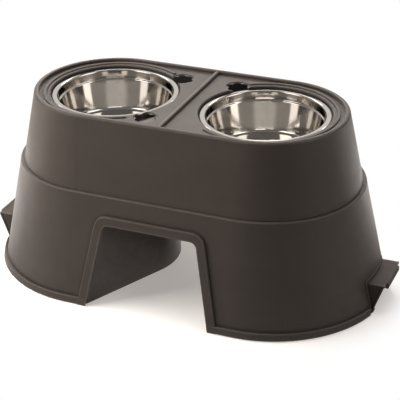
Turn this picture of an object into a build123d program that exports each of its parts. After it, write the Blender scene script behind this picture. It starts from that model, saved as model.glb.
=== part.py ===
from build123d import *
import math
import os

os.makedirs("parts", exist_ok=True)

# Raised feeder with two lift-out bowls. Lengths in mm, Z up, front faces -Y.
# The origin is on the floor, in the middle of the footprint.

# Overall body: every level is a stadium, two half circles joined by straight sides.
height = 305.0
step_z = 186.4
floor_gap = 1.0
top_half = 136.5
top_radius = 127.3
upper_foot_radius = 150.6
step_width = 5.6
base_half = 144.0
base_wall_radius = 187.9
wall = 3.0

# Lip round the deck.
lip_outer_round = 4.5
lip_inner_round = 2.0
lip_inner_radius = 119.0
deck_drop = 6.0
lip_shoulder_drop = 4.2
lip_channel_least = 0.8
foot_round = 1.2

# Shoulder of the lower moulding, where the upper one stands.
shoulder_depth = 6.4
bead_round = 2.2
collar_height = 20.0
collar_gap = 0.15
collar_round = 0.8

# Trim round the floor edge and round the arches.
trim_proud = 4.5
trim_height = 12.0
trim_round = 1.5
arch_half_floor = 106.5
arch_half_top = 79.3
arch_top = 141.5
arch_corner = 11.0
frame_width = 14.5
frame_corner = 21.0

# Passage from arch to arch, narrowed in its middle by a rounded column under each bowl.
passage_half = 29.5
passage_draft = 3.0
passage_wall = 2.6

# Bowl places and wells.
bowl_x = 130.5
rim_radius = 103.8
well_gap = 2.2
well_drop = 7.6
well_edge = 1.2
ledge_hole_radius = 97.5
ledge_skirt = 4.0
ledge_round = 0.8
bead_ring_radius = 114.5
bead_ring_width = 6.4
bead_ring_height = 2.2
bead_ring_round = 2.1
bead_ring_start = 66.0

# Divider across the deck.
divider_width = 7.6
divider_drop = 1.0
divider_round = 3.0

# Finger holes: a round dish with a scalloped hole through its floor.
hole_radius = 19.4
hole_edge = 0.9
hole_dish = 1.6
hole_stop = 0.5
scallop_radius = 7.4
scallop_reach = 11.4
scallops = 6
scallop_turn = -6.0

# Their places, as an angle about the bowl's axis and a distance out from its well.
back_left_turn = 44.0
back_left_out = 11.0
back_right_turn = 133.5
back_right_out = 8.5
front_left_turn = -42.0
front_left_out = 19.0

# Bowls.
sheet = 0.9
rim_width = 9.0
rim_curl = 1.6
rim_crown = 0.5
rim_turn = 2.6
bowl_seat_gap = 0.3
collar_depth = 15.0
collar_lean_in = 0.6
bowl_step = 2.0
bowl_step_drop = 2.0
bowl_step_rise = 0.4
bowl_step_round = 1.2
bowl_floor_radius = 82.0
bowl_depth = 67.0
bowl_floor_round = 5.0
bowl_floor_lean = 0.5
floor_ring_radius = 52.0
floor_ring_width = 6.0
floor_ring_height = 0.8
floor_ring_round = 0.7

# Hand grips at the ends.
grip_half = 42.0
grip_top = 52.0
grip_out = 14.1
grip_foot_in = 4.4
grip_sheet = 3.0
grip_gap = 1.4
grip_bead_over = 4.0
grip_bead = 1.6
grip_bead_gap = 0.3
grip_flange_over = 12.0
grip_flange = 2.5
grip_lip_half = 30.0
grip_lip_drop = 7.0
grip_lip = 3.6
grip_lip_sheet = 2.6
grip_lip_round = 2.4
grip_lip_rise = 0.5
grip_tip_round = 0.5
grip_edge_width = 5.0
grip_edge = 2.4
grip_edge_round = 0.8
grip_nub = 2.6
grip_nub_out = 1.0
grip_nub_up = 5.2
trim_end_half = 52.0

# Screws and their bosses.
screw_side_x = 84.0
screw_offset = 9.5
screw_shank = 4.0
screw_length = 16.0
screw_head = 8.0
screw_head_height = 2.6
screw_head_round = 1.2
screw_slack = 0.5
socket_cross = 4.2
socket_slot = 1.0
socket_depth = 1.4
boss_radius = 4.8
boss_height = 30.0
boss_web = 2.4
boss_clearance = 2.0
lug_half = 11.0
lug_reach = 18.0

# Rubber feet.
foot_angle = 50.0
foot_inset = 12.5
foot_radius = 6.5
foot_fit = 0.2
foot_pocket = 3.0
foot_edge = 0.6
foot_boss = 9.5
foot_boss_height = 13.0

# Ribs under the deck.
rib_depth = 22.0
rib_sheet = 2.4
rib_x = 16.0

deck_z = height - deck_drop
ledge_z = deck_z - well_drop
well_radius = rim_radius + well_gap
lip_shoulder_z = height - lip_shoulder_drop
upper_slope = (upper_foot_radius - top_radius) / (lip_shoulder_z - step_z)
upper_skin = wall * math.sqrt(1 + upper_slope ** 2)
lower_top_radius = upper_foot_radius + step_width
shoulder_z = step_z - shoulder_depth
lower_slope = (base_wall_radius - lower_top_radius) / step_z
lower_skin = wall * math.sqrt(1 + lower_slope ** 2)
floor_z = floor_gap
foot_line = base_wall_radius - foot_inset
arch_lean = (arch_half_floor - arch_half_top) / arch_top
grip_reach = base_half + base_wall_radius + grip_out
grip_foot_reach = base_half + base_wall_radius - grip_foot_in

# Cutters run past the faces by clear, raised features run into what carries them by sink.
clear = 1.0
sink = 1.0
tall = 40.0
far = 500.0


def rounded(points):
    """Closed wire face from (x, y, radius) corners, the corners turned by arcs."""
    n = len(points)
    edges = []
    ends = []
    for i in range(n):
        p = Vector(points[i][0], points[i][1])
        a = Vector(points[i - 1][0], points[i - 1][1]) - p
        b = Vector(points[(i + 1) % n][0], points[(i + 1) % n][1]) - p
        r = points[i][2]
        if r <= 0:
            ends.append((p, None, p))
            continue
        a = a.normalized()
        b = b.normalized()
        turn = math.acos(max(-1.0, min(1.0, a.dot(b))))
        reach = r / math.tan(turn / 2)
        middle = (a + b).normalized()
        mid = p + middle * (r / math.sin(turn / 2) - r)
        ends.append((p + a * reach, mid, p + b * reach))
    for i in range(n):
        start, mid, stop = ends[i]
        if mid is not None:
            edges.append(ThreePointArc(start, mid, stop))
        nxt = ends[(i + 1) % n][0]
        if (nxt - stop).length > 1e-6:
            edges.append(Line(stop, nxt))
    return make_face(edges)


def turned(points, arc=360.0):
    """Solid of revolution about Z from a profile in (radius, height), an arc of it centred on +X."""
    return Rot(0, 0, -arc / 2) * revolve(Plane.XZ * rounded(points), Axis.Z, revolution_arc=arc)


def stadium(points, half):
    """A profile in (radius, height) carried round a stadium of that half spacing."""
    whole = turned(points)
    cut = Pos(far, 0, 0) * Box(2 * far, 4 * far, 4 * far)
    right = Pos(half, 0, 0) * (whole & cut)
    left = mirror(right, Plane.YZ)
    side_face = Plane(origin=(-half, 0, 0), x_dir=(0, 1, 0), z_dir=(1, 0, 0)) * rounded(points)
    back = extrude(side_face, 2 * half, dir=(1, 0, 0))
    front = mirror(back, Plane.XZ)
    return right + left + back + front


def slot_at(half, radius, z):
    return Plane.XY.offset(z) * SlotCenterToCenter(2 * half, 2 * radius)


def wall_radius(z):
    return base_wall_radius - lower_slope * z


def wall_half(z):
    return base_half - (base_half - top_half) * z / shoulder_z


def lower_body(grow, low, high):
    """The lower moulding's outline as one solid, grown or shrunk sideways."""
    bottom = slot_at(wall_half(low), wall_radius(low) + grow, low)
    top = slot_at(wall_half(high), wall_radius(high) + grow, high)
    return loft([bottom, top], ruled=True)


def arch_prism(grow, corner):
    """The arch outline run right through from front to back, grown by a border."""
    side = grow * math.sqrt(1 + arch_lean ** 2)
    low = -tall
    top = arch_top + grow
    half_low = arch_half_floor + side - arch_lean * low
    half_top = arch_half_floor + side - arch_lean * top
    outline = [(-half_low, low, 0), (half_low, low, 0), (half_top, top, corner), (-half_top, top, corner)]
    return extrude(Plane.XZ * rounded(outline), far, both=True)


def passage_plan(grow, z):
    """The passage seen from above: its sides leave the arch and turn round the bowls' axes."""
    radius = bowl_x - passage_half - passage_draft * z / arch_top
    aside = bowl_x - arch_half_floor + arch_lean * z
    depth = wall_radius(z) - lower_skin
    turn = math.acos(radius / math.hypot(aside, depth)) - math.atan2(depth, aside)
    out = Vector(math.cos(turn), math.sin(turn))
    touch = Vector(-bowl_x, 0) + out * (radius - grow)
    mouth = touch + Vector(out.Y, -out.X) * 2 * base_wall_radius
    middle = radius - grow - bowl_x
    edges = []
    for s in (1, -1):
        edges.append(Line((s * mouth.X, mouth.Y), (s * touch.X, touch.Y)))
        edges.append(ThreePointArc((s * touch.X, touch.Y), (s * middle, 0), (s * touch.X, -touch.Y)))
        edges.append(Line((s * touch.X, -touch.Y), (s * mouth.X, -mouth.Y)))
    for s in (1, -1):
        edges.append(Line((mouth.X, s * mouth.Y), (-mouth.X, s * mouth.Y)))
    return Plane.XY.offset(z) * make_face(edges)


def passage(grow, low, high):
    return loft([passage_plan(grow, low), passage_plan(grow, high)], ruled=True)


def block(x0, x1, y0, y1, z0, z1):
    return Pos((x0 + x1) / 2, (y0 + y1) / 2, (z0 + z1) / 2) * Box(x1 - x0, y1 - y0, z1 - z0)


def post(radius, low, high):
    return Pos(0, 0, low) * Cylinder(radius, high - low, align=(Align.CENTER, Align.CENTER, Align.MIN))


def both_ends(shape):
    return shape + mirror(shape, Plane.YZ)


def end_wedge(half_width):
    """Cutter for the trim at both ends, opening from the end's own centre line."""
    spread = far * math.tan(math.asin(half_width / (base_wall_radius + trim_proud)))
    plan = make_face(Polyline((0, 0), (far, spread), (far, -spread), (0, 0)))
    return both_ends(Pos(base_half, 0, -tall) * extrude(plan, 2 * tall))


# Screw places: four along the sides and one at each end, on the upper moulding's foot.
foot_skin = upper_foot_radius - upper_skin
boss_line = foot_skin - screw_offset
screw_places = [
    (sx * screw_side_x, sy * boss_line) for sx in (-1, 1) for sy in (-1, 1)
] + [(-top_half - boss_line, 0), (top_half + boss_line, 0)]

# Finger holes: the side of their bowl, their angle and their distance out from its well.
finger_places = [
    (-1, back_left_turn, back_left_out),
    (1, back_right_turn, back_right_out),
    (-1, front_left_turn, front_left_out),
]

foot_places = [
    (sx * (base_half + foot_line * math.cos(math.radians(foot_angle))),
     sy * foot_line * math.sin(math.radians(foot_angle)))
    for sx in (-1, 1) for sy in (-1, 1)
]


def deck_shell():
    outer = stadium([
        (0, step_z, 0),
        (upper_foot_radius, step_z, foot_round),
        (top_radius - lip_shoulder_drop * upper_slope, height, lip_outer_round),
        (lip_inner_radius, height, lip_inner_round),
        (lip_inner_radius, deck_z, 0),
        (0, deck_z, 0),
    ], top_half)
    top_skin_z = height - wall
    skin_z = deck_z - wall
    inner_foot = foot_skin + upper_slope * clear
    inner_top = top_radius - upper_skin + upper_slope * (lip_shoulder_z - top_skin_z)
    leg = lip_inner_radius + wall
    cavity = stadium([
        (0, step_z - clear, 0),
        (inner_foot, step_z - clear, 0),
        (max(inner_top, leg + lip_channel_least), top_skin_z, 0),
        (leg, top_skin_z, 0),
        (leg, skin_z, 0),
        (0, skin_z, 0),
    ], top_half)
    shell = outer - cavity

    inside = stadium([
        (0, step_z, 0),
        (foot_skin + upper_skin / 2, step_z, 0),
        (top_radius - upper_skin / 2, lip_shoulder_z, 0),
        (0, lip_shoulder_z, 0),
    ], top_half)
    rib = block(rib_x, rib_x + rib_sheet, -lip_inner_radius, lip_inner_radius, skin_z - rib_depth, skin_z)
    shell += both_ends(rib) & inside

    well_foot = ledge_z - wall
    well_tool = turned([
        (0, well_foot - tall, 0),
        (well_radius, well_foot - tall, 0),
        (well_radius, deck_z - well_edge, 0),
        (well_radius + well_edge, deck_z, 0),
        (well_radius + well_edge, deck_z + clear, 0),
        (0, deck_z + clear, 0),
    ])
    well = turned([
        (ledge_hole_radius, well_foot - ledge_skirt, 0),
        (ledge_hole_radius + wall, well_foot - ledge_skirt, 0),
        (ledge_hole_radius + wall, well_foot, 0),
        (well_radius + wall, well_foot, 0),
        (well_radius + wall, deck_z - wall / 2, 0),
        (well_radius, deck_z - wall / 2, 0),
        (well_radius, ledge_z, ledge_round),
        (ledge_hole_radius, ledge_z, ledge_round),
    ])
    ring_in = bead_ring_radius - bead_ring_width / 2
    ring_out = bead_ring_radius + bead_ring_width / 2
    ring_end = math.degrees(math.acos((bead_ring_start - bowl_x) / bead_ring_radius))
    ring = turned([
        (ring_in, deck_z - sink, 0),
        (ring_out, deck_z - sink, 0),
        (ring_out, deck_z + bead_ring_height, bead_ring_round),
        (ring_in, deck_z + bead_ring_height, bead_ring_round),
    ], 2 * ring_end)
    for side in (-1, 1):
        place = Pos(side * bowl_x, 0, 0)
        flip = ring if side > 0 else mirror(ring, Plane.YZ)
        shell = shell - place * well_tool
        shell = shell + place * well + place * flip

    bar_top = height - divider_drop
    bar = rounded([
        (-divider_width / 2, deck_z - sink, 0),
        (divider_width / 2, deck_z - sink, 0),
        (divider_width / 2, bar_top, divider_round),
        (-divider_width / 2, bar_top, divider_round),
    ])
    shell += extrude(Plane.XZ * bar, lip_inner_radius + sink, both=True)

    low = well_foot - ledge_skirt - clear
    opening = finger_hole(low, deck_z + bead_ring_height + clear)
    kept = post(ledge_hole_radius + wall + hole_stop, low - clear, height)
    for side, turn, out in finger_places:
        x = (well_radius + out) * math.cos(math.radians(turn))
        y = (well_radius + out) * math.sin(math.radians(turn))
        shell = shell - Pos(side * bowl_x, 0, 0) * (Pos(x, y, 0) * opening - kept)

    boss = post(boss_radius, step_z, step_z + boss_height)
    bore = post(screw_shank / 2, step_z - clear, step_z + screw_length)
    web = block(0, screw_offset + wall, -boss_web / 2, boss_web / 2, step_z, step_z + boss_height)
    for x, y in screw_places:
        outward = math.copysign(90, y) if y else 90 - math.copysign(90, x)
        shell = shell + (Pos(x, y, 0) * (boss + Rot(0, 0, outward) * web) & inside)
    for x, y in screw_places:
        shell = shell - Pos(x, y, 0) * bore
    return shell


def split_deck(shell):
    """The upper moulding as its outer wall with the lip, and both halves of the plate inside the lip."""
    over_bosses = step_z + boss_height + clear
    framed = extrude(slot_at(top_half, lip_inner_radius, over_bosses), height + clear - over_bosses)
    plate = shell & framed
    left_side = block(-far, 0, -far, far, step_z, height + clear)
    return shell - framed, plate & left_side, plate - left_side


def finger_hole(low, high):
    """Cutter for the dish and for the scalloped hole through its floor."""
    opening = turned([
        (0, deck_z - hole_dish, 0),
        (hole_radius, deck_z - hole_dish, 0),
        (hole_radius, deck_z - hole_edge, 0),
        (hole_radius + hole_edge, deck_z, 0),
        (hole_radius + hole_edge, high, 0),
        (0, high, 0),
    ])
    opening += post(scallop_reach, low, deck_z)
    for k in range(scallops):
        a = math.radians(scallop_turn + 360 * k / scallops)
        place = Pos(scallop_reach * math.cos(a), scallop_reach * math.sin(a), 0)
        opening += place * post(scallop_radius, low, deck_z)
    return opening


def base_skirt():
    body = lower_body(0, floor_z, shoulder_z)
    shoulder = stadium([
        (0, shoulder_z, 0),
        (wall_radius(shoulder_z), shoulder_z, 0),
        (lower_top_radius, step_z, bead_round),
        (0, step_z, 0),
    ], top_half)
    body += shoulder

    trim_slope = lower_slope * trim_height
    trim_z = floor_z + trim_height
    proud_radius = base_wall_radius + trim_proud
    trim = stadium([
        (base_wall_radius - wall, floor_z, 0),
        (proud_radius, floor_z, trim_round),
        (proud_radius - trim_slope, trim_z, trim_round),
        (base_wall_radius - wall, trim_z, 0),
    ], base_half)
    body += trim - end_wedge(trim_end_half)

    frame = lower_body(trim_proud, floor_z, shoulder_z) & arch_prism(frame_width, frame_corner)
    frame = frame & block(-far, far, -far, -top_radius, floor_z, step_z)
    frame = round_front(frame)
    body += frame + mirror(frame, Plane.XZ)

    inner_top = shoulder_z - wall
    collar_inside = foot_skin - wall
    inside = lower_body(-lower_skin, floor_z - clear, inner_top)
    through = stadium([
        (0, inner_top - clear, 0),
        (collar_inside, inner_top - clear, 0),
        (collar_inside, step_z + clear, 0),
        (0, step_z + clear, 0),
    ], top_half)
    body = body - inside - through

    hollow = stadium([
        (base_wall_radius - 4 * wall, floor_z - clear, 0),
        (proud_radius - wall, floor_z - clear, 0),
        (proud_radius - trim_slope - wall, trim_z - wall, 0),
        (base_wall_radius - 4 * wall, trim_z - wall, 0),
    ], base_half)
    body = body - (hollow - end_wedge(trim_end_half + wall))

    channel = arch_prism(frame_width - wall, frame_corner - wall) - arch_prism(wall, arch_corner)
    body = body - (channel & lower_body(trim_proud - lower_skin, floor_z - clear, shoulder_z - clear))

    collar_lean = upper_slope * collar_height
    collar_z = step_z + collar_height
    collar = stadium([
        (collar_inside, shoulder_z, 0),
        (foot_skin - collar_gap, shoulder_z, 0),
        (foot_skin - collar_gap, step_z, 0),
        (foot_skin - collar_gap - collar_lean, collar_z, collar_round),
        (collar_inside - collar_lean, collar_z, collar_round),
        (collar_inside, step_z, 0),
    ], top_half)
    gap = boss_radius + boss_clearance
    for x, y in screw_places:
        if y:
            lug = block(x - lug_half, x + lug_half, y - lug_reach, y + lug_reach, step_z - wall, step_z)
            slot = block(x - gap, x + gap, y - tall, y + tall, step_z, collar_z + clear)
        else:
            lug = block(x - lug_reach, x + lug_reach, -lug_half, lug_half, step_z - wall, step_z)
            slot = block(x - tall, x + tall, -gap, gap, step_z, collar_z + clear)
        body = body + (lug & shoulder)
        collar = collar - slot
    body += collar
    for x, y in screw_places:
        body = body - Pos(x, y, 0) * post((screw_shank + screw_slack) / 2, step_z - 2 * wall, step_z + clear)

    body = body - arch_prism(0, arch_corner)
    hand = grip_half + grip_gap
    body = body - both_ends(block(base_half, far, -hand, hand, floor_z - clear, grip_top + grip_gap))

    for x, y in foot_places:
        boss = Pos(x, y, 0) * post(foot_boss, floor_z, floor_z + foot_boss_height)
        body = body + (boss & lower_body(-wall / 2, floor_z, shoulder_z))
    for x, y in foot_places:
        body = body - Pos(x, y, 0) * post(foot_radius + foot_fit, -clear, floor_z + foot_pocket)
    return body


def passage_walls():
    """The lower moulding's inner walls, round the passage: its roof and the left and right columns' sides."""
    roof = arch_top + passage_wall
    room = passage(0, floor_z - clear, roof + clear) & arch_prism(0, arch_corner)
    walls = passage(passage_wall, floor_z, roof) & lower_body(-lower_skin, floor_z, shoulder_z)
    walls = walls - room
    plate = walls & block(-far, far, -far, far, arch_top, roof)
    left = walls & block(-far, 0, -far, far, floor_z, arch_top)
    return plate, left


def round_front(frame):
    """Soften the two long edges of the arch frame's front face."""
    face = frame.faces().sort_by(Axis.Y)[0]
    edges = [e for e in face.edges() if e.center().Z > floor_z + trim_height / 2]
    return fillet(edges, trim_round)


def grip():
    """Right-hand grip: a hood on two cheeks that slides up onto the wall's edges."""
    under = grip_top - grip_sheet
    inner = lower_body(-lower_skin, floor_z, shoulder_z)
    core = lower_body(-lower_skin - grip_flange, floor_z, shoulder_z)
    hood = block(0, grip_reach, -grip_half, grip_half, under, grip_top)
    outline = [
        (0, floor_z, 0),
        (grip_foot_reach, floor_z, 0),
        (grip_reach, grip_top, grip_edge_round),
        (0, grip_top, 0),
    ]
    cheek = extrude(Plane.XZ.offset(-grip_half) * rounded(outline), grip_sheet)
    body = (hood + cheek + mirror(cheek, Plane.XZ)) - core

    over = grip_half + grip_flange_over
    inner_half = grip_half - grip_sheet
    window = block(0, far, -inner_half, inner_half, floor_z - clear, under)
    flange = (inner - core) & block(0, far, -over, over, floor_z, grip_top + grip_flange_over)
    body += flange - window

    bead_skin = lower_body(grip_bead_gap + grip_bead, floor_z, shoulder_z) - lower_body(
        grip_bead_gap, floor_z, shoulder_z)
    reach = grip_half + grip_bead_over
    bead = bead_skin & block(0, far, -reach, reach, floor_z, grip_top + grip_bead_over)
    body += bead - block(0, far, -inner_half, inner_half, floor_z - clear, grip_top - sink)

    strip = rounded([
        (grip_foot_reach - grip_edge, floor_z, 0),
        (grip_foot_reach, floor_z, 0),
        (grip_reach, grip_top, grip_edge_round),
        (grip_reach - grip_edge, grip_top, 0),
    ])
    middle = grip_half - grip_sheet / 2
    edge = extrude(Plane.XZ.offset(-middle - grip_edge_width / 2) * strip, grip_edge_width)
    nub = Pos(grip_foot_reach + grip_nub_out, middle, floor_z + grip_nub_up) * (
        Rot(90, 0, 0) * Cylinder(grip_nub, grip_edge_width))
    body += edge + mirror(edge, Plane.XZ) + nub + mirror(nub, Plane.XZ)

    lip_in = grip_reach - sink
    lip_low = under - grip_lip_drop
    lip = rounded([
        (lip_in, lip_low, grip_tip_round),
        (grip_reach + grip_lip, lip_low, grip_lip_round),
        (grip_reach + grip_lip, grip_top, grip_lip_round),
        (grip_reach - grip_lip_sheet, grip_top + grip_lip_rise, 0),
        (grip_reach - grip_lip_sheet, under, 0),
        (lip_in, under, 0),
    ])
    body += extrude(Plane.XZ * lip, grip_lip_half, both=True)
    return body


def bowl():
    """Pressed steel bowl turned about Z at its own centre, hung by its rim."""
    top = ledge_z + bowl_seat_gap + 2 * rim_curl + sheet
    r_in = rim_radius - rim_width
    c_in = r_in - collar_lean_in
    s_in = c_in - bowl_step
    step_high = top - collar_depth
    step_low = step_high - bowl_step_drop
    floor_in = top - bowl_depth
    curl_r = rim_radius - rim_curl
    curl_top = top - rim_crown
    shape = turned([
        (0, floor_in - sheet, 0),
        (bowl_floor_radius, floor_in - sheet, bowl_floor_round + sheet),
        (s_in + sheet, step_low, bowl_step_round),
        (c_in + sheet, step_high, bowl_step_round),
        (r_in + sheet, top - sheet, rim_turn - sheet),
        (curl_r, curl_top - sheet, 0),
        (curl_r, curl_top, 0),
        (r_in, top, rim_turn),
        (c_in, step_high + bowl_step_rise, bowl_step_round),
        (s_in, step_low + bowl_step_rise, bowl_step_round),
        (bowl_floor_radius - bowl_floor_lean, floor_in, bowl_floor_round),
        (0, floor_in, 0),
    ])
    middle = Pos(curl_r, curl_top - rim_curl)
    curl = middle * Circle(rim_curl) - middle * Circle(rim_curl - sheet)
    outer_half = Pos(rim_radius, curl_top - rim_curl) * Rectangle(2 * rim_curl, 2 * rim_curl)
    shape += revolve(Plane.XZ * (curl & outer_half), Axis.Z)
    ring = turned([
        (floor_ring_radius - floor_ring_width / 2, floor_in - sheet / 2, 0),
        (floor_ring_radius + floor_ring_width / 2, floor_in - sheet / 2, 0),
        (floor_ring_radius + floor_ring_width / 2, floor_in + floor_ring_height, floor_ring_round),
        (floor_ring_radius - floor_ring_width / 2, floor_in + floor_ring_height, floor_ring_round),
    ])
    return shape + ring


def screw():
    """Pan head screw pointing up, its head under the lug."""
    head_z = step_z - wall
    low = head_z - screw_head_height
    head = post(screw_head / 2, low, head_z)
    head = fillet(head.edges().group_by(Axis.Z)[0], screw_head_round)
    cross = Box(socket_cross, socket_slot, 2 * socket_depth) + Box(socket_slot, socket_cross, 2 * socket_depth)
    return post(screw_shank / 2, head_z, head_z + screw_length) + (head - Pos(0, 0, low) * cross)


def foot():
    pad = post(foot_radius, 0, floor_z + foot_pocket)
    return chamfer(pad.edges().group_by(Axis.Z)[0], foot_edge)


def save(name, shape):
    solids = shape.solids()
    whole = solids[0] if len(solids) == 1 else Compound(solids)
    export_step(whole, os.path.join("parts", name + ".step"))
    box = whole.bounding_box()
    print(name, len(solids), [round(v, 1) for v in (*box.min, *box.max)], round(whole.volume / 1000, 1))


outer, left_plate, right_plate = split_deck(deck_shell())
save("deck_shell", outer)
save("deck_plate_left", left_plate)
save("deck_plate_right", right_plate)
save("base_skirt", base_skirt())
roof_plate, column_wall = passage_walls()
save("passage_roof", roof_plate)
save("column_wall_left", column_wall)
save("column_wall_right", mirror(column_wall, Plane.YZ))
right_grip = grip()
save("grip_right", right_grip)
save("grip_left", mirror(right_grip, Plane.YZ))
steel_bowl = bowl()
save("bowl_left", Pos(-bowl_x, 0, 0) * steel_bowl)
save("bowl_right", Pos(bowl_x, 0, 0) * steel_bowl)
save("shell_screws", Compound([Pos(x, y, 0) * screw() for x, y in screw_places]))
for label, (x, y) in zip(("foot_front_left", "foot_back_left", "foot_front_right", "foot_back_right"), foot_places):
    save(label, Pos(x, y, 0) * foot())
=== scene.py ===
import math

import bpy
from mathutils import Matrix, Vector

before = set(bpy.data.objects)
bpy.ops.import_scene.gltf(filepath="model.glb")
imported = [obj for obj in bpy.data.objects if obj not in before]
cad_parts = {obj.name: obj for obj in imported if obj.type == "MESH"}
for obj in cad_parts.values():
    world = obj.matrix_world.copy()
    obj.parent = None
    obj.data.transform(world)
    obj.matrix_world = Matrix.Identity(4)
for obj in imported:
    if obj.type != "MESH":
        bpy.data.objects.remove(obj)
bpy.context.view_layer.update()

# How far each bowl's axis is from the middle of the stand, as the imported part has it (metres).
BOWL_X = 0.1305

# The camera that the photograph was taken with, in degrees and metres, and its lens.
LENS_AZIMUTH = 23.72
LENS_ELEVATION = 26.65
LENS_ROLL = -1.21
LENS_DISTANCE = 2.2628
LENS_AIM = Vector((0, 0, 0.1525))
LENS_MM = 123.71
LENS_SHIFT = (0.0235, -0.04375)
SENSOR_MM = 36

# Colours of the mouldings and grips, each a mix of a dark and a light one, of the dust and scratches that
# wear on them, and of the painted highlight on their edges and the painted shade in their corners.
SHELL_COLOURS = (0.048, 0.0355, 0.0285, 1), (0.057, 0.0425, 0.0345, 1)
# The grips' colours are a little darker than the shell's, as painted shade for their sloping tops.
SHADED_GRIP_COLOURS = (0.045, 0.0335, 0.027, 1), (0.054, 0.0405, 0.033, 1)
PALE_DUST = (0.16, 0.145, 0.13, 1)
# Painted highlight laid on convex edges.
PAINTED_EDGE_HIGHLIGHT = (0.12, 0.1, 0.088, 1)
# Painted shade laid into corners, creases and grooves.
PAINTED_CORNER_SHADE = (0.014, 0.011, 0.009, 1)
# The colour in which the mouldings pale where they are seen at a low angle.
SHEEN_COLOUR = (1, 0.94, 0.88, 1)

# Colours of the metals and of the feet.
STEEL_COLOURS = (0.63, 0.6, 0.565, 1), (0.68, 0.65, 0.615, 1)
ZINC_COLOURS = (0.46, 0.47, 0.48, 1), (0.58, 0.57, 0.52, 1)
RUBBER_COLOURS = (0.022, 0.021, 0.02, 1), (0.04, 0.038, 0.036, 1)
RUBBED_RUBBER = (0.12, 0.115, 0.11, 1)

# How brightly the walls light matte things. The lamps add to it.
FILL = 0.15

# The floor: its colour, the share of it that bounces, and the glow that the camera sees added to it.
FLOOR_SIZE = 24
FLOOR_COLOUR = (0.86, 0.81, 0.77)
FLOOR_BOUNCE = 0.5
FLOOR_LIFT = 0.34
FLOOR_LIFT_COLOUR = (1, 0.94, 0.89, 1)
# The floor's glow behind the stand, as shiny things see it, and under the stand, as all but the camera do.
REAR_FLOOR = 1.7
PASSAGE_FLOOR = 0.45
# Between these distances from the line that joins the bowls' axes, the floor turns plain white.
WHITE_FROM, WHITE_TO = 0.185, 0.27
# Between these distances from that line, the glow under the stand sets in.
PASSAGE_FROM, PASSAGE_TO = 0.22, 0.12
# The floor inside the column under each bowl, which gets no lift, reaches this far from the bowl's axis.
COLUMN_FLOOR = 0.095
COLUMN_FLOOR_EDGE = 0.01

# The walls, as shiny things see them: a pale sweep in front, beside and behind, and a dark room above it.
FRONT_SWEEP = 0.12
SIDE_SWEEP = 0.45
REAR_SWEEP = 0.82
CEILING = 0.2
# The sweep's share of its brightness at the floor, and the height in degrees where it has all of it.
LOW_SHARE = 0.45
FULL_HEIGHT = 12.0
# Degrees from the camera's azimuth between which the front turns to the side, and the side to the rear.
SIDE_FROM, SIDE_TO = 60.0, 80.0
REAR_FROM, REAR_TO = 125.0, 150.0
# Heights in degrees between which the sweep turns to the dark room.
CEILING_FROM, CEILING_TO = 30.0, 46.0
WALL_COLOUR = (1, 0.972, 0.94, 1)
# Lit panels on the walls: azimuth from the camera's, half width, lower and upper end and soft edge, all in
# degrees, and brightness.
PANELS = (
    (-58.0, 16.0, 8.0, 56.0, 2.0, 2.6),
    (62.0, 16.0, 8.0, 56.0, 3.0, 2.2),
    (180.0, 40.0, 33.0, 44.0, 2.0, 5.5),
)

# Square soft lamps: azimuth and elevation in degrees, distance and side in metres, and power in watts.
LAMPS = {
    "top_box": (-120, 76, 2.4, 2.2, 42),
    "left_near_box": (-62, 30, 0.95, 0.6, 9.4),
    "rear_left_box": (-150, 38, 2.6, 1.4, 36),
    "right_box": (80, 26, 2.8, 1.2, 14),
}


def compass(azimuth, elevation):
    """Unit vector towards a place in the studio; azimuth 0 is in front of the stand, 90 at its right end."""
    a, e = math.radians(azimuth), math.radians(elevation)
    return Vector((math.sin(a) * math.cos(e), -math.cos(a) * math.cos(e), math.sin(e)))


# Helpers that add nodes to a material or to the world


def put(tree, kind, setup=None, **sockets):
    """Adds one node. Sockets are given by name, with _ for a blank, or by number after a _.

    Each takes a number, a colour or another node's output.
    """
    made = tree.nodes.new("ShaderNode" + kind)
    for key, value in (setup or {}).items():
        setattr(made, key, value)
    for key, value in sockets.items():
        socket = made.inputs[int(key[1:])] if key[1:].isdigit() else made.inputs[key.replace("_", " ")]
        feed(tree, socket, value)
    return made


def feed(tree, socket, value):
    """Links another node's output to a socket, or sets the socket's own number or colour."""
    if isinstance(value, bpy.types.NodeSocket):
        tree.links.new(value, socket)
    else:
        socket.default_value = value


def maths(tree, how, a, b=0.0, c=0.0):
    return put(tree, "Math", {"operation": how}, _0=a, _1=b, _2=c).outputs[0]


def times(tree, a, b):
    return maths(tree, "MULTIPLY", a, b)


def ease(tree, value, start, stop, low=0.0, high=1.0):
    """A soft step from low to high as the value goes from start to stop."""
    made = put(tree, "MapRange", {"interpolation_type": "SMOOTHSTEP"}, Value=value,
               From_Min=start, From_Max=stop, To_Min=low, To_Max=high)
    return made.outputs[0]


def spread(tree, value, start, stop, low=0.0, high=1.0):
    """A straight step from low to high as the value goes from start to stop."""
    made = put(tree, "MapRange", {"clamp": True}, Value=value,
               From_Min=start, From_Max=stop, To_Min=low, To_Max=high)
    return made.outputs[0]


def parts_of(tree, place):
    """The X, Y and Z of a place."""
    return put(tree, "SeparateXYZ", None, Vector=place).outputs[:3]


def away(tree, x, y):
    """How far a place lies from the origin, seen from above."""
    flat = put(tree, "CombineXYZ", None, X=x, Y=y).outputs[0]
    return put(tree, "VectorMath", {"operation": "LENGTH"}, _0=flat).outputs["Value"]


def cloud(tree, place, scale, detail=2.0, rough=0.5, warp=0.0):
    """Soft noise from 0 to 1, with about that many waves to each metre of its place."""
    made = put(tree, "TexNoise", None, Vector=place, Scale=scale, Detail=detail,
               Roughness=rough, Distortion=warp)
    return made.outputs[0]


def cells(tree, place, scale):
    """How far a place lies from the middle of its own cell, with about that many cells to the metre."""
    return put(tree, "TexVoronoi", None, Vector=place, Scale=scale).outputs[0]


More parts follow.
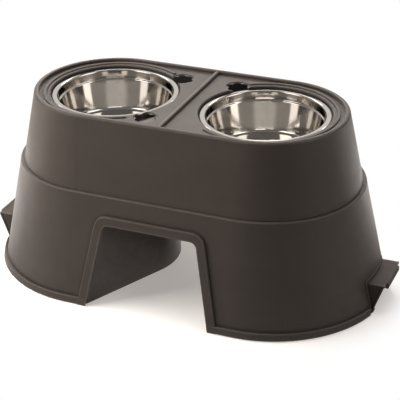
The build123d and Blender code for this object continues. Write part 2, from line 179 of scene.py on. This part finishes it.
def stretched(tree, place, scale, turn=(0, 0, 0), shift=(0, 0, 0)):
    return put(tree, "Mapping", None, Vector=place, Scale=scale, Rotation=turn, Location=shift).outputs[0]


def between(tree, share, first, second):
    """Mix of two numbers by a share from 0 to 1."""
    return put(tree, "Mix", {"data_type": "FLOAT"}, _0=share, _2=first, _3=second).outputs[0]


def blended(tree, share, first, second):
    """Mix of two colours by a share from 0 to 1."""
    return put(tree, "Mix", {"data_type": "RGBA"}, _0=share, _6=first, _7=second).outputs[2]


def raised(tree, height, depth, strength=1.0, under=None):
    """Bump of that real depth in metres, laid over another one."""
    made = put(tree, "Bump", None, Height=height, Distance=depth, Strength=strength)
    if under is not None:
        tree.links.new(under, made.inputs["Normal"])
    return made.outputs[0]


def new_finish(name, **sockets):
    """A new material: itself, its node tree, its shader, and the place of a point on the object."""
    finish = bpy.data.materials.new(name)
    finish.use_nodes = True
    tree = finish.node_tree
    tree.nodes.clear()
    shader = put(tree, "BsdfPrincipled", None, **sockets)
    put(tree, "OutputMaterial", None, Surface=shader.outputs[0])
    place = put(tree, "TexCoord").outputs["Object"]
    return finish, tree, shader, place


def wire(tree, shader, **sockets):
    for key, value in sockets.items():
        tree.links.new(value, shader.inputs[key.replace("_", " ")])


# Finishes


def scratches(tree, place, height):
    """Fine scratches in two directions, only where hands and the floor rub."""
    level = cloud(tree, stretched(tree, place, (18.0, 18.0, 900.0)), 1.0, rough=0.6)
    slanting = cloud(tree, stretched(tree, place, (700.0, 30.0, 30.0), (0.2, 0.4, 0.9)), 1.0, rough=0.6)
    lines = maths(tree, "MAXIMUM", ease(tree, level, 0.70, 0.74), ease(tree, slanting, 0.72, 0.76))
    low_down = ease(tree, height, 0.05, 0.0)
    patches = ease(tree, cloud(tree, place, scale=11.0), 0.52, 0.66)
    return times(tree, lines, maths(tree, "MAXIMUM", low_down, times(tree, patches, 0.5)))


def painted_edge_highlight_and_corner_shade(tree, colour, mottle):
    """Convex edges are made paler as a painted highlight, and the corners of ribs and steps darker as painted
    shade.
    """
    # Paler convex edges are a painted highlight; darker corners are painted shade.
    edge = put(tree, "AmbientOcclusion", {"samples": 4, "inside": True, "only_local": True}, Distance=0.0027)
    corner = put(tree, "AmbientOcclusion", {"samples": 4, "only_local": True}, Distance=0.007)
    highlit = times(tree, ease(tree, edge.outputs["AO"], 0.98, 0.72), spread(tree, mottle, 0.3, 0.7, 0.7, 1.0))
    colour = blended(tree, times(tree, highlit, 0.7), colour, PAINTED_EDGE_HIGHLIGHT)
    # Painted shade: corners darkened by how enclosed they are.
    shaded = times(tree, ease(tree, corner.outputs["AO"], 0.96, 0.6), 0.8)
    return blended(tree, shaded, colour, PAINTED_CORNER_SHADE)


def moulded_plastic(name, dark, light, smoothest=0.42, roughest=0.5, shine=0.5, sheen=0.15):
    """Warm charcoal moulding: fine grain, faint flow marks, scratches and dust near the floor, with a painted
    highlight on its edges and painted shade in its corners.
    """
    finish, tree, shader, place = new_finish(name, Specular_IOR_Level=shine, IOR=1.5, Sheen_Weight=sheen,
                                             Sheen_Roughness=0.4, Sheen_Tint=SHEEN_COLOUR)
    height = parts_of(tree, place)[2]
    flow = cloud(tree, stretched(tree, place, (1.0, 1.0, 3.0)), scale=6.0, detail=4.0, rough=0.55, warp=0.6)
    mottle = cloud(tree, place, scale=60.0, detail=3.0, rough=0.6)
    tone = maths(tree, "MULTIPLY_ADD", mottle, 0.35, times(tree, flow, 0.65))
    colour = blended(tree, spread(tree, tone, 0.35, 0.65), dark, light)

    worn = scratches(tree, place, height)
    specks = cloud(tree, place, scale=90.0, detail=3.0, rough=0.65)
    dust = times(tree, ease(tree, height, 0.02, 0.0, 0.0, 0.25), specks)
    colour = blended(tree, maths(tree, "MULTIPLY_ADD", worn, 0.35, dust), colour, PALE_DUST)
    # Painted highlight on edges and painted shade in corners.
    colour = painted_edge_highlight_and_corner_shade(tree, colour, mottle)

    gloss = cloud(tree, place, scale=35.0, detail=3.0, rough=0.6)
    rough = maths(tree, "MULTIPLY_ADD", worn, 0.08, spread(tree, gloss, 0.3, 0.7, smoothest, roughest))

    pits = cloud(tree, place, scale=1500.0, rough=0.55)
    grain = maths(tree, "MULTIPLY_ADD", cells(tree, place, 850.0), 0.6, pits)
    bump = raised(tree, grain, depth=0.00006)
    bump = raised(tree, flow, depth=0.0006, strength=0.25, under=bump)
    bump = raised(tree, times(tree, worn, -1.0), depth=0.00005, strength=0.6, under=bump)
    wire(tree, shader, Base_Color=colour, Roughness=rough, Normal=bump)
    return finish


def polished_steel(name, axis_x):
    """Stainless sheet, spun and buffed: fine rings about the bowl's axis, smears and a few fine scratches."""
    finish, tree, shader, place = new_finish(name, Metallic=1.0)
    x, y, z = parts_of(tree, stretched(tree, place, (1.0, 1.0, 1.0), shift=(-axis_x, 0, 0)))
    radius = away(tree, x, y)
    along = put(tree, "CombineXYZ", None, X=times(tree, radius, 2600.0), Y=times(tree, z, 2600.0),
                Z=times(tree, x, 14.0)).outputs[0]
    rings = cloud(tree, along, scale=1.0, detail=3.0, rough=0.6)
    smear = cloud(tree, place, scale=28.0, detail=3.0, rough=0.6, warp=0.8)
    hairs = cloud(tree, stretched(tree, place, (40.0, 1400.0, 40.0), (0.3, 0.2, 0.7)), scale=1.0)
    hairline = ease(tree, hairs, 0.74, 0.78)
    tone = blended(tree, spread(tree, smear, 0.35, 0.7), *STEEL_COLOURS)
    polish = maths(tree, "MULTIPLY_ADD", rings, 0.5, times(tree, smear, 0.5))
    rough = maths(tree, "MULTIPLY_ADD", hairline, 0.1, spread(tree, polish, 0.35, 0.65, 0.05, 0.11))
    bump = raised(tree, rings, depth=0.000004, strength=0.5)
    bump = raised(tree, times(tree, hairline, -1.0), depth=0.00001, strength=0.4, under=bump)
    wire(tree, shader, Base_Color=tone, Roughness=rough, Normal=bump)
    return finish


def zinc_plate(name):
    """Bright zinc on the hidden screws."""
    finish, tree, shader, place = new_finish(name, Metallic=1.0)
    film = cloud(tree, place, scale=160.0, detail=3.0, rough=0.6)
    tone = blended(tree, spread(tree, film, 0.35, 0.65), *ZINC_COLOURS)
    flakes = maths(tree, "MULTIPLY_ADD", cells(tree, place, 700.0), 0.3, film)
    rough = spread(tree, flakes, 0.3, 0.9, 0.24, 0.42)
    bump = raised(tree, film, depth=0.00003, strength=0.4)
    wire(tree, shader, Base_Color=tone, Roughness=rough, Normal=bump)
    return finish


def foot_rubber(name):
    """Black rubber, rubbed grey where it stands on the floor."""
    finish, tree, shader, place = new_finish(name, Specular_IOR_Level=0.3)
    height = parts_of(tree, place)[2]
    crumbs = cloud(tree, place, scale=1200.0, detail=3.0, rough=0.6)
    bloom = cloud(tree, place, scale=120.0, detail=3.0, rough=0.6)
    colour = blended(tree, spread(tree, bloom, 0.35, 0.65), *RUBBER_COLOURS)
    worn = times(tree, ease(tree, height, 0.0007, 0.0), ease(tree, crumbs, 0.4, 0.6))
    colour = blended(tree, times(tree, worn, 0.5), colour, RUBBED_RUBBER)
    rough = spread(tree, crumbs, 0.3, 0.7, 0.7, 0.85)
    bump = raised(tree, crumbs, depth=0.00005, strength=0.6)
    wire(tree, shader, Base_Color=colour, Roughness=rough, Normal=bump)
    return finish


def dress(finish, *nodes):
    """Gives CAD nodes their finish, in every slot that they have."""
    for node in nodes:
        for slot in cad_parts[node].material_slots:
            slot.material = finish


def dress_the_feeder():
    """Every CAD node gets its finish; the two bowls differ in where their rings are centred."""
    dress(moulded_plastic("charcoal_moulding", *SHELL_COLOURS),
          "deck_shell", "deck_plate_left", "deck_plate_right",
          "base_skirt", "passage_roof", "column_wall_left", "column_wall_right")
    dress(moulded_plastic("charcoal_grip", *SHADED_GRIP_COLOURS, smoothest=0.5, roughest=0.58,
                          shine=0.3, sheen=0.05),
          "grip_left", "grip_right")
    dress(polished_steel("left_bowl_steel", -BOWL_X), "bowl_left")
    dress(polished_steel("right_bowl_steel", BOWL_X), "bowl_right")
    dress(zinc_plate("zinc_screw"), "shell_screws")
    dress(foot_rubber("foot_rubber"),
          "foot_front_left", "foot_back_left", "foot_front_right", "foot_back_right")


# Studio


def ray_kinds(tree):
    """Two switches: for rays from the camera or through glass, and for rays off shiny things."""
    path = put(tree, "LightPath")
    seen = maths(tree, "MAXIMUM", path.outputs["Is Camera Ray"], path.outputs["Is Transmission Ray"])
    return seen, path.outputs["Is Glossy Ray"]


def hidden_glow(tree, place, far_off, seen, shiny):
    """The floor's glow for all rays but the camera's: behind the stand for shiny things, under it for all."""
    backwards = -compass(LENS_AZIMUTH, 0)
    rearward = put(tree, "VectorMath", {"operation": "DOT_PRODUCT"}, _0=place, _1=backwards).outputs["Value"]
    near_rear = times(tree, ease(tree, rearward, 0.0, 0.3), ease(tree, rearward, 0.8, 0.4))
    behind = times(tree, times(tree, near_rear, shiny), REAR_FLOOR)
    within = times(tree, ease(tree, far_off, PASSAGE_FROM, PASSAGE_TO), PASSAGE_FLOOR)
    return times(tree, maths(tree, "SUBTRACT", 1.0, seen), maths(tree, "ADD", behind, within))


def studio_floor():
    """A pale floor that keeps the stand's shadow near it and runs out into plain white."""
    bpy.ops.object.select_all(action="DESELECT")
    bpy.ops.mesh.primitive_plane_add(size=FLOOR_SIZE, location=(0, 0, 0))
    floor = bpy.context.object
    floor.name = "studio_floor"
    paper = bpy.data.materials.new("floor_paper")
    paper.use_nodes = True
    tree = paper.node_tree
    tree.nodes.clear()
    place = put(tree, "TexCoord").outputs["Object"]
    x, y = parts_of(tree, place)[:2]
    from_axis = maths(tree, "SUBTRACT", maths(tree, "ABSOLUTE", x), BOWL_X)
    far_off = away(tree, maths(tree, "MAXIMUM", from_axis, 0.0), y)
    seen, shiny = ray_kinds(tree)

    bounced = tuple(share * FLOOR_BOUNCE for share in FLOOR_COLOUR)
    matte = put(tree, "BsdfDiffuse", None, Color=blended(tree, seen, (*bounced, 1), (*FLOOR_COLOUR, 1)))
    open_floor = ease(tree, away(tree, from_axis, y), COLUMN_FLOOR - COLUMN_FLOOR_EDGE, COLUMN_FLOOR)
    hidden = hidden_glow(tree, place, far_off, seen, shiny)
    lifted = maths(tree, "MULTIPLY_ADD", times(tree, seen, open_floor), FLOOR_LIFT, hidden)
    lift = put(tree, "Emission", None, Color=FLOOR_LIFT_COLOUR, Strength=lifted)
    near = put(tree, "AddShader", None, _0=matte.outputs[0], _1=lift.outputs[0])

    white = put(tree, "Emission", None, Color=(1, 1, 1, 1), Strength=1.0)
    fade = times(tree, ease(tree, far_off, WHITE_FROM, WHITE_TO), seen)
    both = put(tree, "MixShader", None, _0=fade, _1=near.outputs[0], _2=white.outputs[0])
    put(tree, "OutputMaterial", None, Surface=both.outputs[0])
    floor.data.materials.append(paper)


def turn_from(tree, angle, azimuth):
    """Degrees between an angle and an azimuth, whichever way is shorter."""
    off = maths(tree, "SUBTRACT", angle, azimuth)
    return maths(tree, "ABSOLUTE", maths(tree, "WRAP", off, 180.0, -180.0))


def panel(tree, angle, height, azimuth, half_width, low, high, edge, strength):
    """A soft-edged lit panel of the studio, in degrees, as shiny things see it."""
    across = ease(tree, turn_from(tree, angle, azimuth), half_width + edge, half_width - edge)
    above = ease(tree, height, low - edge, low + edge)
    below = ease(tree, height, high + edge, high - edge)
    return times(tree, times(tree, across, times(tree, above, below)), strength)


def studio_walls():
    """White all round for the camera; shiny things see panels, a pale sweep and a dark room above it."""
    world = bpy.data.worlds.new("studio")
    bpy.context.scene.world = world
    world.use_nodes = True
    tree = world.node_tree
    tree.nodes.clear()
    x, y, z = parts_of(tree, put(tree, "TexCoord").outputs["Generated"])
    angle = times(tree, maths(tree, "ARCTAN2", x, times(tree, y, -1.0)), math.degrees(1))
    height = times(tree, maths(tree, "ARCSINE", z), math.degrees(1))

    aside = turn_from(tree, angle, LENS_AZIMUTH)
    beside = ease(tree, aside, SIDE_FROM, SIDE_TO, FRONT_SWEEP, SIDE_SWEEP)
    sweep = between(tree, ease(tree, aside, REAR_FROM, REAR_TO), beside, REAR_SWEEP)
    sweep = times(tree, sweep, ease(tree, height, 0.0, FULL_HEIGHT, LOW_SHARE, 1.0))
    lit = between(tree, ease(tree, height, CEILING_FROM, CEILING_TO), sweep, CEILING)
    for from_lens, *measures in PANELS:
        lit = maths(tree, "MAXIMUM", lit, panel(tree, angle, height, LENS_AZIMUTH + from_lens, *measures))

    seen, shiny = ray_kinds(tree)
    level = maths(tree, "MULTIPLY_ADD", maths(tree, "SUBTRACT", 1.0, seen), FILL, seen)
    back = put(tree, "Background", None, Color=blended(tree, shiny, (1, 1, 1, 1), WALL_COLOUR),
               Strength=between(tree, shiny, level, lit))
    put(tree, "OutputWorld", None, Surface=back.outputs[0])


def soft_lamp(name, azimuth, elevation, distance, side, power):
    """A square soft lamp aimed at the stand, which shiny things and the camera don't see."""
    data = bpy.data.lights.new(name, "AREA")
    data.shape = "SQUARE"
    data.size = side
    data.energy = power
    lamp = bpy.data.objects.new(name, data)
    bpy.context.scene.collection.objects.link(lamp)
    aim = compass(azimuth, elevation)
    lamp.location = LENS_AIM + aim * distance
    lamp.rotation_mode = "QUATERNION"
    lamp.rotation_quaternion = aim.to_track_quat("Z", "Y")
    lamp.visible_glossy = False
    lamp.visible_camera = False


def photo_camera():
    """The camera at the photograph's place, turned by its roll."""
    data = bpy.data.cameras.new("photo_camera")
    camera = bpy.data.objects.new("photo_camera", data)
    bpy.context.scene.collection.objects.link(camera)
    back = compass(LENS_AZIMUTH, LENS_ELEVATION)
    right = compass(LENS_AZIMUTH + 90, 0)
    up = back.cross(right)
    roll = math.radians(LENS_ROLL)
    turned_right = math.cos(roll) * right + math.sin(roll) * up
    turned_up = math.cos(roll) * up - math.sin(roll) * right
    camera.matrix_world = Matrix((turned_right, turned_up, back)).transposed().to_4x4()
    camera.location = LENS_AIM + back * LENS_DISTANCE
    data.sensor_width = SENSOR_MM
    data.lens = LENS_MM
    data.shift_x, data.shift_y = LENS_SHIFT
    data.clip_start, data.clip_end = 0.05, 60
    bpy.context.scene.camera = camera


dress_the_feeder()
studio_floor()
studio_walls()
for name, measures in LAMPS.items():
    soft_lamp(name, *measures)
photo_camera()

view = bpy.context.scene.view_settings
view.view_transform = "Standard"
